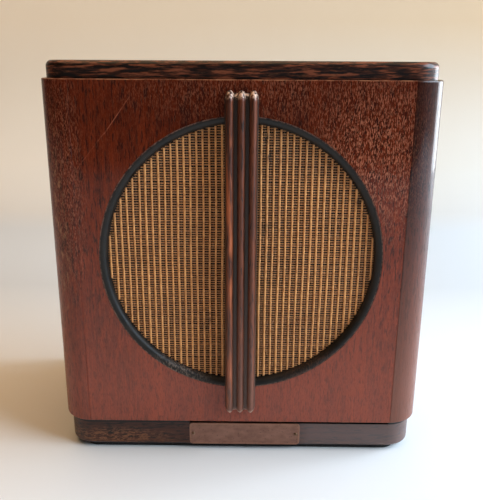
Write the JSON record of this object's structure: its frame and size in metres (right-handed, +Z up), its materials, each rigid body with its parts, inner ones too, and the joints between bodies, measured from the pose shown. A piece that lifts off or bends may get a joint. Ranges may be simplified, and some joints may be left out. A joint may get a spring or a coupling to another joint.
{
  "type": "extension loudspeaker",
  "caption": "Table-top extension loudspeaker in a rounded wooden cabinet, with a round cloth grille, a reeded bar and screw terminals.",
  "frame": {"origin": "centre of the underside of the base pad, at the middle of the pad's width and depth", "axes": "+Z up; the grille faces -Y; +X is to the right for a person facing the grille"},
  "size_m": [0.305, 0.1929, 0.324],
  "materials": {
    "veneer": "satin",
    "dark_board": "satin",
    "moulding": "satin",
    "ebonised": "gloss",
    "black_pad": "matte",
    "raw_wood": "matte",
    "plywood": "matte",
    "grille_fabric": "woven",
    "bronze": "worn",
    "pin_metal": "worn",
    "fibreboard": "matte",
    "screw_steel": "worn",
    "laminate": "satin",
    "moulded_black": "gloss",
    "moulded_red": "gloss",
    "brass": "worn",
    "frame_enamel": "satin",
    "gasket_card": "matte",
    "pole_steel": "satin",
    "magnet_alloy": "matte",
    "cone_paper": "matte",
    "felt": "felt",
    "impregnated_cloth": "matte",
    "enamelled_copper": "gloss",
    "winding_tape": "waxed",
    "core_steel": "matte",
    "bobbin_card": "matte",
    "plated_steel": "satin",
    "lead_cover": "braided",
    "tinsel": "braided"
  },
  "bodies": {
    "root": {"front_panel": "veneer", "corner_post_left": "veneer", "corner_post_right": "veneer", "side_panel_left": "veneer", "side_panel_right": "veneer", "top_board": "dark_board", "base_board": "dark_board", "reeded_bar": "moulding", "bezel_ring": "ebonised", "base_pad": "black_pad", "post_blocks": "raw_wood", "top_cleats": "raw_wood", "base_cleats": "raw_wood", "back_batten_left": "raw_wood", "back_batten_right": "raw_wood", "back_batten_top": "raw_wood", "back_batten_bottom": "raw_wood", "sub_baffle": "plywood", "grille_cloth": "grille_fabric", "name_plate": "bronze", "plate_pins": "pin_metal", "back_cover": "fibreboard", "back_screws": "screw_steel", "cleat_screws": "screw_steel", "baffle_screws": "screw_steel", "driver_bolts": "screw_steel", "driver_nuts": "screw_steel", "transformer_screws": "screw_steel", "terminal_panel_screws": "screw_steel", "terminal_panel": "laminate", "tag_strip": "laminate", "terminal_bushes": "moulded_black", "terminal_stems": "brass", "terminal_nuts": "brass", "solder_tags": "brass", "driver_frame": "frame_enamel", "driver_gasket": "gasket_card", "front_plate": "pole_steel", "magnet_pot": "pole_steel", "pole_piece": "pole_steel", "magnet_slug": "magnet_alloy", "surround": "cone_paper", "spider": "impregnated_cloth", "transformer_winding": "winding_tape", "transformer_core": "core_steel", "transformer_bobbin": "bobbin_card", "transformer_clamp": "plated_steel", "input_leads": "lead_cover", "output_leads": "lead_cover", "pigtails": "tinsel"},
    "cone_unit": {"cone": "cone_paper", "dust_cap": "felt", "coil_former": "cone_paper", "coil_winding": "enamelled_copper"},
    "collar_left": {"terminal_collar_left": "brass"},
    "collar_right": {"terminal_collar_right": "brass"},
    "head_left": {"terminal_head_left": "moulded_red"},
    "head_right": {"terminal_head_right": "moulded_black"}
  },
  "joints": [
    {"name": "cone_travel", "type": "slide", "parent": "root", "child": "cone_unit", "axis": [0, -1, 0], "range_m": [-0.0025, 0.0025], "stiffness_N_per_m": 2400, "deforming": ["surround", "spider", "pigtails"]},
    {"name": "terminal_left_rise", "type": "slide", "parent": "root", "child": "collar_left", "axis": [0, 1, 0], "range_m": [0, 0.003]},
    {"name": "terminal_left_turn", "type": "hinge", "parent": "collar_left", "child": "head_left", "pos_m": [-0.014, 0.082, 0.062], "axis": [0, 1, 0], "range_deg": [0, 1440]},
    {"name": "terminal_right_rise", "type": "slide", "parent": "root", "child": "collar_right", "axis": [0, 1, 0], "range_m": [0, 0.003]},
    {"name": "terminal_right_turn", "type": "hinge", "parent": "collar_right", "child": "head_right", "pos_m": [0.014, 0.082, 0.062], "axis": [0, 1, 0], "range_deg": [0, 1440]}
  ],
  "couplings": [
    {"joint": "terminal_left_turn", "follows": "terminal_left_rise", "rad_per_m": 8377.6},
    {"joint": "terminal_right_turn", "follows": "terminal_right_rise", "rad_per_m": 8377.6}
  ]
}
